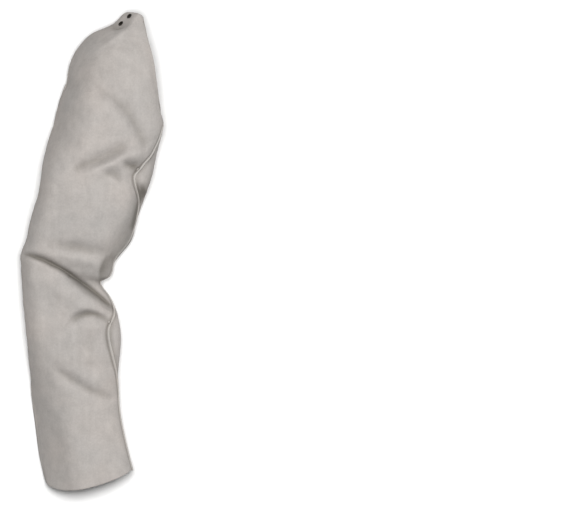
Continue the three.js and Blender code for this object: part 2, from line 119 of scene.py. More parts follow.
# Folds and dents of the front. Each runs from one place over a bend to another, as shares of the
# sleeve's length and of half the width there. lift and spread are shares of the arm's width,
# skew widens the flank on the left of the way that it runs, and crisp goes from round to sharp.
FOLD_COLUMNS = ("name", "start", "bend", "end", "lift", "spread", "skew", "crisp")
FOLDS = (
    ("tip_ridge", (0.99, 0.75), (0.95, 0.3), (0.92, -0.4), 0.03, 0.04, 0, 0.5),
    ("shoulder_slope", (0.68, -1.0), (0.76, -1.0), (0.87, -1.0), -0.225, 0.19),
    ("armhole_valley", (0.825, -0.25), (0.808, 0.36), (0.73, 0.8), -0.062, 0.085, 0.35, 0.2),
    ("pillow_valley", (0.66, -0.33), (0.69, 0.1), (0.73, 0.4), -0.065, 0.055, 0, 0.2),
    ("pillow_ridge", (0.66, -0.1), (0.7, 0.42), (0.735, 0.86), 0.045, 0.065),
    ("pillow_pit", (0.694, 0.45), (0.692, 0.57), (0.702, 0.7), -0.08, 0.05, 0, 0.4),
    ("pit_tail", (0.665, 0.17), (0.671, 0.35), (0.655, 0.55), -0.03, 0.05, 0.3),
    ("seam_hollow", (0.655, 0.86), (0.63, 0.98), (0.6, 1.0), -0.06, 0.04, 0, 0.3),
    ("underarm_bevel", (0.63, 1.08), (0.56, 1.05), (0.49, 1.0), -0.12, 0.1),
    ("upper_plateau", (0.625, -0.45), (0.595, 0), (0.545, -0.1), 0.02, 0.16),
    ("elbow_valley", (0.497, -0.33), (0.518, 0.2), (0.51, 0.83), -0.035, 0.07),
    ("elbow_ridge", (0.484, -0.4), (0.492, 0.2), (0.478, 0.9), 0.025, 0.06),
    ("elbow_crease", (0.474, -0.95), (0.477, -0.19), (0.376, 1.02), -0.05, 0.032, 0, 0.3),
    ("elbow_facet", (0.447, 0.28), (0.422, 0.66), (0.385, 0.95), -0.075, 0.075, 0.5),
    ("forearm_pillow", (0.44, -0.67), (0.427, -0.1), (0.36, 0.5), 0.04, 0.1),
    ("forearm_arch", (0.352, -0.02), (0.384, 0.4), (0.355, 0.74), -0.055, 0.05, -0.35, 0.4),
    ("forearm_dent", (0.334, 0.31), (0.29, 0.34), (0.25, 0.43), -0.03, 0.08),
    ("forearm_valley", (0.257, -0.42), (0.22, 0), (0.188, 0.83), -0.04, 0.055, 0, 0.2),
    ("cuff_slope", (0.26, -1.05), (0.13, -1.0), (0, -0.85), -0.21, 0.19),
)

# Creases at the bottom of the folds and shaded bevels, with the same columns. They are too fine for
# the imported model, and shade is painted darker along them.
CREASES = (
    ("elbow", (0.474, -0.9), (0.477, -0.19), (0.382, 0.95), -0.018, 0.026),
    ("arch", (0.352, 0.05), (0.384, 0.42), (0.355, 0.74), -0.008, 0.026),
    ("pit", (0.688, 0.56), (0.688, 0.64), (0.697, 0.72), -0.014, 0.034),
    ("hollow", (0.655, 0.9), (0.625, 1.0), (0.575, 1.0), -0.035, 0.036),
    ("underarm", (0.76, 1.12), (0.62, 1.12), (0.48, 1.02), -0.012, 0.08),
    ("facet", (0.44, 0.4), (0.415, 0.72), (0.39, 0.94), -0.005, 0.085, 0.4),
    ("notch", (0.503, 0.85), (0.474, 0.72), (0.45, 0.96), -0.018, 0.042, 0.5),
)

# Where the rows of the mesh are packed closer along the sleeve
DENSE_COLUMNS = ("at", "reach", "gain")
DENSE_PLACES = (
    (0.36, 0.03, 0.8),
    (0.44, 0.05, 0.8),
    (0.69, 0.04, 0.6),
    (0.985, 0.03, 1.0),
)

# Shares of a section's loft between which the folds and the cut edge's bow fade in, the bow's
# roundness and tilt, and the share of a fold's fading curve that its ends leave out
FOLD_FADE = (0.15, 0.55)
BOW_FADE = (0.1, 0.6)
BOW_POWER = 0.6
BOW_SKEW = 0.35
FOLD_TAIL = 0.06

# The height that the seam points away from, as a share of the loft
SEAM_AIM = 0.3

# How finely the leather is meshed. The grid has an odd count of points both ways, so that the
# inner face can skip every other row and column.
ARM_ROWS = 262
SHOULDER_ROWS = 70
RING_COLUMNS = 187
FRONT_CROWDING = 0.5
PATH_STEPS = 24
FOLD_STEPS = 24
DENSITY_STEPS = 800


def length(name, description, default, low, high, digits=2):
    """A size that its maker sets, in metres."""
    return FloatProperty(
        name=name, description=description, default=default, min=low, max=high,
        unit="LENGTH", precision=digits,
    )


def tint(name, description, default):
    """A colour that its maker sets."""
    return FloatVectorProperty(
        name=name, description=description, default=default, min=0, max=1, size=3, subtype="COLOR",
    )


def strength(name, description, default, high, unit="NONE"):
    """How strong a light is."""
    return FloatProperty(name=name, description=description, default=default, min=0, max=high, unit=unit)


class SleeveSizes(bpy.types.PropertyGroup):
    """Sizes of the sleeve that its maker sets"""

    sleeve_length: length("Sleeve Length", "From the cuff to the shoulder tip", 0.6, 0.3, 0.9)
    cuff_width: length("Cuff Width", "Width of the cuff as the sleeve lies", 0.108, 0.06, 0.2)
    arm_width: length("Arm Width", "Width of the upper arm as the sleeve lies", 0.136, 0.08, 0.26)
    tab_width: length("Tip Width", "Width of the shoulder tip near its end", 0.028, 0.01, 0.06)
    cuff_loft: length("Cuff Loft", "Height of the cuff above the table", 0.06, 0.02, 0.12)
    arm_loft: length("Arm Loft", "Height of the upper arm above the table", 0.092, 0.02, 0.16)
    tab_loft: length("Tip Loft", "Height of the shoulder tip above the table", 0.052, 0.01, 0.1)
    wall: length("Leather Thickness", "Thickness of the split leather", 0.002, 0.001, 0.004)
    clearance: length("Clearance", "Gap between pieces that meet", 0.0003, 0.0001, 0.001)
    seam_turn: length("Seam Turn", "How far the panel's edges turn in at the seam", 0.0065, 0.003, 0.012)
    seam_roll: length("Seam Roll", "Radius of the panel's roll into the seam", 0.002, 0.001, 0.006)
    seam_reach: length("Seam Reach", "How far the seam's pinch draws the panel in", 0.015, 0.005, 0.04)
    welt_thickness: length(
        "Welt Thickness", "Thickness of the strip held in the seam", 0.0024, 0.001, 0.004,
    )
    welt_proud: length("Welt Edge", "How far the welt stands out of the seam", 0.001, 0.0005, 0.008)
    eyelet_pitch: length("Eyelet Pitch", "Distance between the two eyelets", 0.014, 0.01, 0.03)
    eyelet_flange: length("Eyelet Flange", "Outer diameter of an eyelet", 0.0072, 0.006, 0.014)
    eyelet_bore: length("Eyelet Bore", "Inner diameter of an eyelet", 0.0042, 0.003, 0.008)
    eyelet_shank: length("Eyelet Wall", "Wall of the eyelet's barrel", 0.0005, 0.0003, 0.001)
    eyelet_rim: length("Eyelet Rim", "Height of the eyelet's rolled rim", 0.0007, 0.0004, 0.0015)
    stitch_length: length("Stitch Length", "Length of one stitch of the seam", 0.0042, 0.002, 0.008)
    thread_width: length("Thread Width", "Diameter of the sewing thread", 0.0009, 0.0004, 0.002)


class SleeveFinish(bpy.types.PropertyGroup):
    """Colours and depths of the sleeve's finishes"""

    leather_tone: tint("Leather", "Colour of the napped split leather", (0.41, 0.383, 0.364))
    # Painted shade: the colour that the leather is darkened towards in its hollows, creases and beside
    # the seam
    hollow_shade_tone: tint("Hollows", "Colour of the leather deep in its folds", (0.185, 0.17, 0.152))
    cut_tone: tint("Cut Edge", "Colour of the raw cut edge", (0.46, 0.43, 0.39))
    welt_tone: tint("Welt", "Colour of the strip in the seam", (0.46, 0.435, 0.41))
    thread_tone: tint("Thread", "Colour of the sewing thread", (0.62, 0.55, 0.38))
    metal_tone: tint("Eyelet", "Colour of the blackened eyelets", (0.03, 0.026, 0.02))
    nap_depth: length("Nap Depth", "Depth of the suede nap", 0.00025, 0, 0.001, 5)


class SleeveStudio(bpy.types.PropertyGroup):
    """The table, the light and the camera"""

    table_tone: tint("Table", "Colour of the table under the sleeve", (0.95, 0.95, 0.945))
    key_power: strength("Key Light", "Power of the large soft light", 98.0, 500, "POWER")
    side_power: strength("Side Light", "Power of the soft light at the upper right", 15.0, 500, "POWER")
    fill_strength: strength("Fill Light", "Strength of the even light all round", 0.04, 3)
    camera_height: length("Camera Height", "Distance from the table to the camera", 12.0, 2, 50)


def table(columns, rows):
    """Rows of a table as dictionaries by column name, with 0 for what a row leaves out."""
    return [dict(zip_longest(columns, row, fillvalue=0)) for row in rows]


def smooth_step(value, low, high):
    share = np.clip((value - low) / (high - low), 0, 1)
    return share * share * (3 - 2 * share)


def bell(value):
    return np.exp(-value * value)


def unit(vectors):
    return vectors / np.linalg.norm(vectors, axis=-1, keepdims=True)


def hermite(low, high, leave, reach, t):
    """A cubic from low to high with the given rises at its ends."""
    start = (1 + 2 * t) * (1 - t) ** 2 * low + t * (1 - t) ** 2 * leave
    return start + t * t * (3 - 2 * t) * high + t * t * (t - 1) * reach


def section_rows(sizes):
    """The section table in metres, one array for each column."""
    followed = {
        "cuff": (sizes.cuff_width, sizes.cuff_loft),
        "arm": (sizes.arm_width, sizes.arm_loft),
        "tab": (sizes.tab_width, sizes.tab_loft),
    }
    rows = {}
    for row in table(SECTION_COLUMNS, SECTIONS):
        full_width, full_loft = followed[row["follows"]]
        width = row["width"] * full_width
        made = {
            "at": row["at"],
            "x": row["offset"] * sizes.sleeve_length,
            "slant": math.radians(row["slant"]),
            "half": width / 2,
            "loft": row["loft"] * full_loft,
            "seam": row["seam"] * width,
            "pinch": row["pinch"] * width,
            "open": row["open"],
            "tab": row["tab"],
            "lean": row["lean"] * sizes.sleeve_length,
        }
        for column, value in made.items():
            rows.setdefault(column, []).append(value)
    return {column: np.array(values, float) for column, values in rows.items()}


def value_along(rows, column, at):
    """One column's value at places along the sleeve, on a smooth curve through the rows."""
    known, values = rows["at"], rows[column]
    last = len(known) - 1
    k = np.clip(np.searchsorted(known, at) - 1, 0, last - 1)
    before, after = np.maximum(k - 1, 0), np.minimum(k + 2, last)
    span = known[k + 1] - known[k]
    leave = (values[k + 1] - values[before]) / (known[k + 1] - known[before]) * span
    reach = (values[after] - values[k]) / (known[after] - known[k]) * span
    return hermite(values[k], values[k + 1], leave, reach, (at - known[k]) / span)


def section_frames(rows, at):
    """The sections' frames at places along the sleeve, one array for each value."""
    at = np.atleast_1d(np.asarray(at, float))
    frames = {"at": at}
    for column in rows:
        if column != "at":
            frames[column] = value_along(rows, column, at)
    frames["open"] = np.where(at <= UNDERARM_AT, 0, np.clip(frames["open"], 0, 1))
    frames["tab"] = np.clip(frames["tab"], 0, 1)
    return frames


def section_size(frames):
    """Half the width and the loft of each section, ready to scale outlines with."""
    return np.stack([frames["half"], frames["loft"]], 1)[:, None]


def plan_point(sizes, frames, across, forward):
    """Places in plan, from frames, a distance across and a distance along."""
    cos, sin = np.cos(frames["slant"])[:, None], np.sin(frames["slant"])[:, None]
    x = frames["x"][:, None] + across * cos - forward * sin
    y = (frames["at"] * sizes.sleeve_length)[:, None] + across * sin + forward * cos
    return x, y


def smooth_paths(corners, closed):
    """Centripetal curves through corners, one for each section, as short straight steps."""
    if closed:
        ring = np.concatenate([corners[:, -1:], corners, corners[:, :2]], axis=1)
    else:
        before = 2 * corners[:, :1] - corners[:, 1:2]
        after = 2 * corners[:, -1:] - corners[:, -2:-1]
        ring = np.concatenate([before, corners, after], axis=1)
    gaps = np.sqrt(np.linalg.norm(np.diff(ring, axis=1), axis=2, keepdims=True))
    count = ring.shape[1] - 3
    p0, p1, p2, p3 = (ring[:, k:k + count] for k in range(4))
    d0, d1, d2 = (gaps[:, k:k + count] for k in range(3))
    leave = d1 * ((p1 - p0) / d0 - (p2 - p0) / (d0 + d1) + (p2 - p1) / d1)
    reach = d1 * ((p2 - p1) / d1 - (p3 - p1) / (d1 + d2) + (p3 - p2) / d2)
    t = (np.arange(PATH_STEPS) / PATH_STEPS)[None, None, :, None]
    points = hermite(*(part[:, :, None] for part in (p1, p2, leave, reach)), t)
    points = points.reshape(len(corners), -1, 2)
    points = np.concatenate([points, p2[:, -1:]], axis=1)
    points[..., 1] = np.maximum(points[..., 1], 0)
    steps = np.linalg.norm(np.diff(points, axis=1), axis=2)
    lengths = np.concatenate([np.zeros((len(points), 1)), np.cumsum(steps, axis=1)], axis=1)
    return {"points": points, "lengths": lengths, "total": lengths[:, -1], "closed": closed}


def walk(path, goals):
    """The points at lengths along each section's path."""
    if path["closed"]:
        goals = np.mod(goals, path["total"][:, None])
    found = np.empty((*goals.shape, 2))
    for k, (points, lengths) in enumerate(zip(path["points"], path["lengths"])):
        for axis in range(2):
            found[k, :, axis] = np.interp(goals[k], lengths, points[:, axis])
    return found


def fold_lines(sizes, rows, folds):
    """The folds in plan: short straight steps, the lift, and each flank's spread."""
    lines = []
    for fold in table(FOLD_COLUMNS, folds):
        corners = []
        for at, across in (fold["start"], fold["bend"], fold["end"]):
            frames = section_frames(rows, at)
            x, y = plan_point(sizes, frames, across * frames["half"][:, None], 0)
            corners.append((x[0, 0], y[0, 0]))
        start, bend, end = np.array(corners)
        t = np.linspace(0, 1, FOLD_STEPS + 1)[:, None]
        spread = fold["spread"] * sizes.arm_width
        lines.append({
            "points": (1 - t) ** 2 * start + 2 * t * (1 - t) * bend + t * t * end,
            "lift": fold["lift"] * sizes.arm_width,
            "left": spread * (1 + fold["skew"]),
            "right": spread * (1 - fold["skew"]),
            "power": 2 - fold["crisp"],
        })
    return lines


def fold_lift(lines, x, y):
    """How far the folds raise or sink the front at places in plan."""
    lift = np.zeros(np.shape(x))
    for line in lines:
        best = np.full(np.shape(x), np.inf)
        spread = np.full(np.shape(x), line["left"])
        gone = np.zeros(np.shape(x))
        for k, (start, end) in enumerate(zip(line["points"][:-1], line["points"][1:])):
            step = end - start
            dx, dy = x - start[0], y - start[1]
            share = np.clip((dx * step[0] + dy * step[1]) / (step @ step), 0, 1)
            off_x, off_y = dx - share * step[0], dy - share * step[1]
            distance = np.hypot(off_x, off_y)
            nearer = distance < best
            left = step[0] * off_y - step[1] * off_x > 0
            best = np.where(nearer, distance, best)
            spread = np.where(nearer, np.where(left, line["left"], line["right"]), spread)
            gone = np.where(nearer, (k + share) / FOLD_STEPS, gone)
        fade = np.sqrt(np.sin(np.pi * (FOLD_TAIL + (1 - 2 * FOLD_TAIL) * gone)))
        lift += line["lift"] * fade * np.exp(-((best / spread) ** line["power"]))
    return lift


class SleeveForm:
    """The sleeve's shape from its sizes and the tables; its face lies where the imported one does."""

    def __init__(self, sizes):
        self.sizes = sizes
        self.rows = section_rows(sizes)
        self.creases = fold_lines(sizes, self.rows, CREASES)
        self.lines = fold_lines(sizes, self.rows, FOLDS) + self.creases
        self.slot = sizes.welt_thickness / 2 + sizes.clearance
        self.arm = stations(self.rows["at"][0], UNDERARM_AT, ARM_ROWS)
        shoulder = stations(UNDERARM_AT, self.rows["at"][-1], SHOULDER_ROWS)[1:]
        self.face = self.outer_face(np.concatenate([self.arm, shoulder]))
        self.shift = frame_shift(self.face)
        self.face += self.shift

    def place(self, frames, spot, source=None):
        """Section points in space: folds lift the front, and cut ends bow out at the crown."""
        source = spot if source is None else source
        share = source[..., 1] / frames["loft"][:, None]
        front = smooth_step(share, *FOLD_FADE)
        side = np.clip(source[..., 0] / frames["half"][:, None], -1, 1)
        bow = (1 - side * side) ** BOW_POWER * (1 - BOW_SKEW * side)
        forward = frames["lean"][:, None] * bow * smooth_step(share, *BOW_FADE)
        x, y = plan_point(self.sizes, frames, spot[..., 0], forward)
        under = np.broadcast_arrays(*plan_point(self.sizes, frames, source[..., 0], 0))
        z = np.maximum(spot[..., 1] + front * fold_lift(self.lines, *under), 0)
        return np.stack(np.broadcast_arrays(x, y, z), axis=-1)

    def seam(self, frames):
        """The seam in each section: its ring, its place, the way out and the way across."""
        path = smooth_paths(np.array(RING_OUTLINE)[None] * section_size(frames), True)
        start = frames["seam"]
        point = walk(path, start[:, None])[:, 0]
        outward = unit(np.stack([point[:, 0], point[:, 1] - SEAM_AIM * frames["loft"]], 1))
        across = np.stack([-outward[:, 1], outward[:, 0]], 1)
        point = point - outward * frames["pinch"][:, None]
        return {"path": path, "start": start, "point": point, "outward": outward, "across": across}

    def beside_seam(self, frames, seam, aside, out):
        """Points beside the seam, aside along the ring and out from it, several to a section."""
        aside, out = np.atleast_2d(aside)[..., None], np.atleast_2d(out)[..., None]
        spot = seam["point"][:, None] + seam["across"][:, None] * aside
        spot = spot + seam["outward"][:, None] * out
        return self.place(frames, spot, seam["point"][:, None])

    def lip(self):
        """The rolled edge beside the seam: how far aside, how far out, and its length laid flat."""
        sizes = self.sizes
        roll, turn = sizes.seam_roll, sizes.seam_turn
        straight = np.linspace(-turn, -roll, LIP_STRAIGHT, endpoint=False)
        angles = np.linspace(0, math.pi / 2, LIP_ROUND, endpoint=False)
        rolled = self.slot + roll * (1 - np.cos(angles))
        aside = np.concatenate([np.full(len(straight), self.slot), rolled])
        out = np.concatenate([straight, roll * (np.sin(angles) - 1)])
        flat = np.concatenate([straight + turn, turn - roll + roll * angles])
        return aside, out, flat, turn - roll + roll * math.pi / 2

    def outer_face(self, at):
        """The leather's outer face, a row of points for each place along the sleeve."""
        frames = section_frames(self.rows, at)
        aside, out, flat, lip_flat = self.lip()
        t = np.linspace(0, 1, RING_COLUMNS)
        shares = t * (1 - FRONT_CROWDING + FRONT_CROWDING * t)

        seam = self.seam(frames)
        total = seam["path"]["total"][:, None]
        first = self.slot + self.sizes.seam_roll
        gone = first + (total - 2 * first) * shares
        ring = walk(seam["path"], seam["start"][:, None] + gone)
        near = np.minimum(gone, total - gone)
        drawn = frames["pinch"][:, None] * bell(near / self.sizes.seam_reach)
        ring = ring - seam["outward"][:, None] * drawn[..., None]
        ring[..., 1] = np.maximum(ring[..., 1], 0)
        middle = self.place(frames, ring)
        front = self.beside_seam(frames, seam, aside, out)
        back = self.beside_seam(frames, seam, -aside, out)
        closed = np.concatenate([front, middle, back[:, ::-1]], axis=1)

        tab = frames["tab"][:, None, None]
        outline = (1 - tab) * np.array(SHOULDER_OUTLINE)[None] + tab * np.array(TAB_OUTLINE)[None]
        path = smooth_paths(outline * section_size(frames), False)
        total = path["total"][:, None]
        ends = np.broadcast_to(flat, (len(at), len(flat)))
        goals = [ends, lip_flat + (total - 2 * lip_flat) * shares, total - ends[:, ::-1]]
        edge = walk(path, np.concatenate(goals, axis=1))
        opened = self.place(frames, edge)
        return closed + (opened - closed) * frames["open"][:, None, None]


# Points on the straight and on the round part of the rolled edge
LIP_STRAIGHT = 3
LIP_ROUND = 6


def stations(first, last, count):
    """Places along the sleeve, closer together where the folds are sharp."""
    at = np.linspace(first, last, DENSITY_STEPS + 1)
    density = np.ones(len(at))
    for place in table(DENSE_COLUMNS, DENSE_PLACES):
        density += place["gain"] * bell((at - place["at"]) / place["reach"])
    gone = np.concatenate([[0], np.cumsum((density[1:] + density[:-1]) / 2)])
    return np.interp(np.linspace(0, gone[-1], count), gone, at)


def grid_normals(grid):
    """The outward direction at each point of a grid."""
    return unit(np.cross(*np.gradient(grid, axis=(0, 1))))


def border(rows, columns):
    """The (row, column) places round a grid's border, in order."""
    places = [(0, i) for i in range(columns)]
    places += [(j, columns - 1) for j in range(1, rows)]
    places += [(rows - 1, i) for i in range(columns - 2, -1, -1)]
    places += [(j, 0) for j in range(rows - 2, 0, -1)]
    return np.array(places)


def numbered(start, rows, columns):
    """The numbers of a grid of points, from start."""
    return start + np.arange(rows * columns).reshape(rows, columns)


def grid_quads(number, flipped=False, ring=False):
    """The faces of a grid of numbered points, with its rows closed to rings if asked."""
    if ring:
        number = np.concatenate([number, number[:, :1]], axis=1)
    low, high = number[:-1, :-1], number[1:, :-1]
    low_next, high_next = number[:-1, 1:], number[1:, 1:]
    order = (low, low_next, high_next, high) if flipped else (low, high, high_next, low_next)
    return np.stack([part.ravel() for part in order], axis=1).tolist()


def new_mesh_object(name, points, faces, material):
    """A smooth-shaded mesh object in the scene."""
    mesh = bpy.data.meshes.new(name)
    mesh.from_pydata([tuple(p) for p in points], [], [tuple(int(i) for i in f) for f in faces])
    mesh.update()
    mesh.shade_smooth()
    mesh.materials.append(material)
    piece = bpy.data.objects.new(name, mesh)
    bpy.context.scene.collection.objects.link(piece)
    return piece


class Term:
    """A socket in plain arithmetic: its sums, differences and products are new nodes."""

    def __init__(self, recipe, socket):
        self.recipe = recipe
        self.socket = socket

    def __add__(self, other):
        return self.recipe.combine("ADD", self, other)

    def __sub__(self, other):
        return self.recipe.combine("SUBTRACT", self, other)

    def __mul__(self, other):
        return self.recipe.combine("MULTIPLY", self, other)

    __radd__ = __add__
    __rmul__ = __mul__


class Recipe:
    """A material's nodes, made from node types, their settings and the values of their sockets."""

    def __init__(self, name):
        self.material = bpy.data.materials.new(name)
        self.material.use_nodes = True
        self.tree = self.material.node_tree
        self.tree.nodes.clear()

    def node(self, kind, settings=None, sockets=None, output=0):
        made = self.tree.nodes.new("ShaderNode" + kind)
        for name, value in (settings or {}).items():
            setattr(made, name, value)
        for key, value in (sockets or {}).items():
            shown = [socket for socket in made.inputs if socket.enabled]
            socket = shown[key] if isinstance(key, int) else next(s for s in shown if s.name == key)
            if isinstance(value, Term):
                self.tree.links.new(value.socket, socket)
            else:
                socket.default_value = value
        shown = [socket for socket in made.outputs if socket.enabled]
        if not shown:
            return None
        return Term(self, shown[output] if isinstance(output, int) else made.outputs[output])

    def combine(self, operation, left, right):
        terms = [t for t in (left, right) if isinstance(t, Term)]
        wide = any(t.socket.type in {"VECTOR", "RGBA"} for t in terms)
        kind = "VectorMath" if wide else "Math"
        return self.node(kind, {"operation": operation}, {0: left, 1: right})

    def mix(self, factor, low, high):
        low, high = (t if isinstance(t, Term) else (*t, 1) for t in (low, high))
        return self.node("Mix", {"data_type": "RGBA"}, {"Factor": factor, "A": low, "B": high})

    def span(self, value, low, high, to_low=0.0, to_high=1.0):
        sockets = {
            "Value": value, "From Min": low, "From Max": high, "To Min": to_low, "To Max": to_high,
        }
        return self.node("MapRange", {"clamp": True}, sockets)

    def noise(self, place, size, detail=2.0, roughness=0.5):
        sockets = {"Vector": place, "Scale": 1 / size, "Detail": detail, "Roughness": roughness}
        return self.node("TexNoise", {"noise_dimensions": "3D"}, sockets)

    def finish(self, sockets):
        shader = self.node("BsdfPrincipled", None, sockets)
        self.node("OutputMaterial", None, {"Surface": shader})
        return self.material


def leather_finish(name, finish, face_tone, sheen):
    """Napped split leather: mottled, with painted shade in its hollows, a painted highlight on its
    ridges, and paler cut edges.
    """
    leather = Recipe(name)
    place = leather.node("TexCoord", output="Object")
    hollow, ridge, cut = (
        leather.node("Attribute", {"attribute_name": part}, output="Fac") for part in PANEL_PARTS
    )
    marks = {mark: leather.noise(place, *grain) for mark, grain in GRAINS.items()}
    marks["brushed"] = leather.noise(place * BRUSH_STRETCH, *BRUSHED)

    warm = leather.mix(marks["cloud"], COOL, WARM)
    shade = sum(((marks[mark] - NOISE_MEAN) * depth for mark, depth in SHADES.items()), 1)
    # Painted shade: darker in the hollows, the creases, the shaded bevels and beside the seam
    face = leather.mix(hollow, face_tone, finish.hollow_shade_tone)
    # Painted highlight: paler on the ridges
    pale = tuple(min(part * RIDGE_PALER, 1) for part in face_tone)
    face = leather.mix(ridge * RIDGE_SHARE, face, pale)
    face = leather.mix(cut, face, finish.cut_tone)
    colour = face * warm * shade

    nap = sum(marks[mark] * height for mark, height in NAPS.items())
    bump = leather.node("Bump", None, {"Strength": 0.7, "Distance": finish.nap_depth, "Height": nap})
    return leather.finish({
        "Base Color": colour,
        "Roughness": leather.span(marks["blotch"], *ROUGH_BLOTCHES),
        "Normal": bump,
        "IOR": 1.4,
        "Specular IOR Level": 0.25,
        "Sheen Weight": sheen,
        "Sheen Roughness": 0.55,
        "Sheen Tint": (1.0, 0.97, 0.93, 1),
    })


# The values painted on the panel's points: where shade is painted in the hollows, where a highlight is
# painted on the ridges, and the cut edge
PANEL_PARTS = ("hollow", "ridge", "cut")

# Size in metres, detail and roughness of each marking of the leather
GRAINS = {
    "cloud": (0.06, 3.0, 0.5),
    "blotch": (0.013, 3.0, 0.6),
    "fleck": (0.0022, 3.0, 0.7),
    "fibre": (0.0007, 2.0, 0.6),
}
BRUSHED = (0.006, 3.0, 0.6)
BRUSH_STRETCH = (1.0, 0.1, 1.0)

# How far each marking shades the leather and raises its nap, from blotches to roughness, how the tint
# varies, and how much paler the painted highlight makes the ridges
NOISE_MEAN = 0.5
SHADES = {"cloud": 0.14, "blotch": 0.28, "fleck": 0.34, "brushed": 0.16}
NAPS = {"fleck": 0.6, "fibre": 0.4, "blotch": 0.5}
ROUGH_BLOTCHES = (0.2, 0.8, 0.88, 1.0)
COOL = (0.965, 1.0, 1.015)
WARM = (1.035, 1.0, 0.975)
RIDGE_PALER = 1.12
RIDGE_SHARE = 0.6
PANEL_SHEEN = 0.01
WELT_SHEEN = 0.04


def thread_finish(finish):
    """Twisted sewing thread."""
    thread = Recipe("sewing thread")
    place = thread.node("TexCoord", output="Object")
    twist = thread.noise(place, TWIST_SIZE)
    bump = thread.node("Bump", None, {"Strength": 0.6, "Distance": 0.0002, "Height": twist})
    dark = tuple(part * TWIST_SHADE for part in finish.thread_tone)
    return thread.finish({
        "Base Color": thread.mix(twist, dark, finish.thread_tone),
        "Roughness": 0.7,
        "Normal": bump,
        "Sheen Weight": 0.2,
    })


def metal_finish(finish):
    """Blackened brass, rubbed a little on its rim."""
    metal = Recipe("blackened metal")
    place = metal.node("TexCoord", output="Object")
    rub = metal.noise(place, *RUB_GRAIN)
    worn = metal.span(rub, *RUB_WORN)
    bump = metal.node("Bump", None, {"Strength": 0.3, "Distance": 0.0001, "Height": rub})
    return metal.finish({
        "Base Color": metal.mix(worn * RUB_SHARE, finish.metal_tone, RUBBED_TONE),
        "Roughness": metal.span(rub, *RUB_ROUGHNESS),
        "Metallic": 0.85,
        "Normal": bump,
    })


# The thread's twist, and where the eyelets' blackening is rubbed through
TWIST_SIZE = 0.0006
TWIST_SHADE = 0.72
RUB_GRAIN = (0.0016, 4.0, 0.6)
RUB_WORN = (0.55, 0.75)
RUB_SHARE = 0.5
RUBBED_TONE = (0.16, 0.13, 0.09)
RUB_ROUGHNESS = (0.3, 0.7, 0.5, 0.35)

# Steps of the cut edge through the wall with their bulge, and the bulge as a share of the wall
RIM_STEPS = ((0.06, 0.5), (0.28, 0.95), (0.72, 0.95), (0.94, 0.5))
RIM_BULGE = 0.14


def leather_wall(outer, wall):
    """Points and faces of the wall: outer face, inner face with half its rows and columns, rim."""
    rows, columns = outer.shape[:2]
    normals = grid_normals(outer)
    level = unit(softened(normals, SAG_ROUNDS))
    inner = outer - normals * wall - level * sag(outer, level)[..., None]
    half = inner[::2, ::2]
    places = border(rows, columns)
    edge, far = outer[tuple(places.T)], inner[tuple(places.T)]
    within = np.clip(places, 1, (rows - 2, columns - 2))
    bulges = unit(edge - outer[tuple(within.T)]) * RIM_BULGE * wall
    rims = [edge + (far - edge) * share + bulges * bulge for share, bulge in RIM_STEPS]

    points = np.concatenate([outer.reshape(-1, 3), half.reshape(-1, 3), *rims])
    count = len(places)
    first_rim = rows * columns + half.shape[0] * half.shape[1]
    loops = np.concatenate([
        places[None, :, 0] * columns + places[None, :, 1], numbered(first_rim, len(rims), count),
    ])
    faces = grid_quads(numbered(0, rows, columns))
    faces += grid_quads(numbered(rows * columns, *half.shape[:2]), flipped=True)
    faces += grid_quads(loops, flipped=True, ring=True)
    coarse = rows * columns + (places[::2, 0] // 2) * half.shape[1] + places[::2, 1] // 2
    fine = loops[-1]
    for k in range(len(coarse)):
        a, b, c = fine[2 * k], fine[2 * k + 1], fine[(2 * k + 2) % count]
        near, far_one = coarse[k], coarse[(k + 1) % len(coarse)]
        faces += [(a, b, near), (b, c, far_one), (b, far_one, near)]
    rim_points = np.arange(first_rim, len(points))
    return points, faces, rim_points


def sag(outer, level):
    """How much deeper the coarser inner face lies, so that it stays under the narrow creases."""
    rows, columns = outer.shape[:2]
    wide = np.pad(outer, ((SAG_REACH, SAG_REACH), (SAG_REACH, SAG_REACH), (0, 0)), mode="edge")
    deeper = np.zeros((rows, columns))
    for j in range(2 * SAG_REACH + 1):
        for i in range(2 * SAG_REACH + 1):
            off = outer - wide[j:j + rows, i:i + columns]
            deeper = np.maximum(deeper, np.einsum("jik,jik->ji", off, level))
    deeper[:, :SAG_CLEAR] = deeper[:, -SAG_CLEAR:] = 0
    return np.minimum(deeper, SAG_MOST)


# Rounds that soften its directions, its reach and the clear strip beside the seam in points, and
# the most that it comes to in metres
SAG_ROUNDS = 12
SAG_REACH = 2
SAG_CLEAR = 14
SAG_MOST = 0.008


def softened(grid, rounds):
    """A grid with each point moved towards its neighbours' middle, several times over."""
    soft = grid.copy()
    for _ in range(rounds):
        wide = np.pad(soft, ((1, 1), (1, 1), (0, 0)), mode="edge")
        soft = (wide[:-2, 1:-1] + wide[2:, 1:-1] + wide[1:-1, :-2] + wide[1:-1, 2:]) / 4
    return soft


def eyelet_seats(sizes):
    """Where the two eyelets sit on the leather: centre of its outer face, and the axis outward."""
    mounts = {mount["name"]: mount for mount in frame["record"]["mounts"]}
    seats = {}
    for name in ("eyelet_lower", "eyelet_upper"):
        low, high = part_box(name)
        axis = Vector(mounts[name + "_flange"]["axis"]).normalized()
        seats[name] = ((low + high) / 2 + axis * sizes.wall / 2, axis)
    return seats


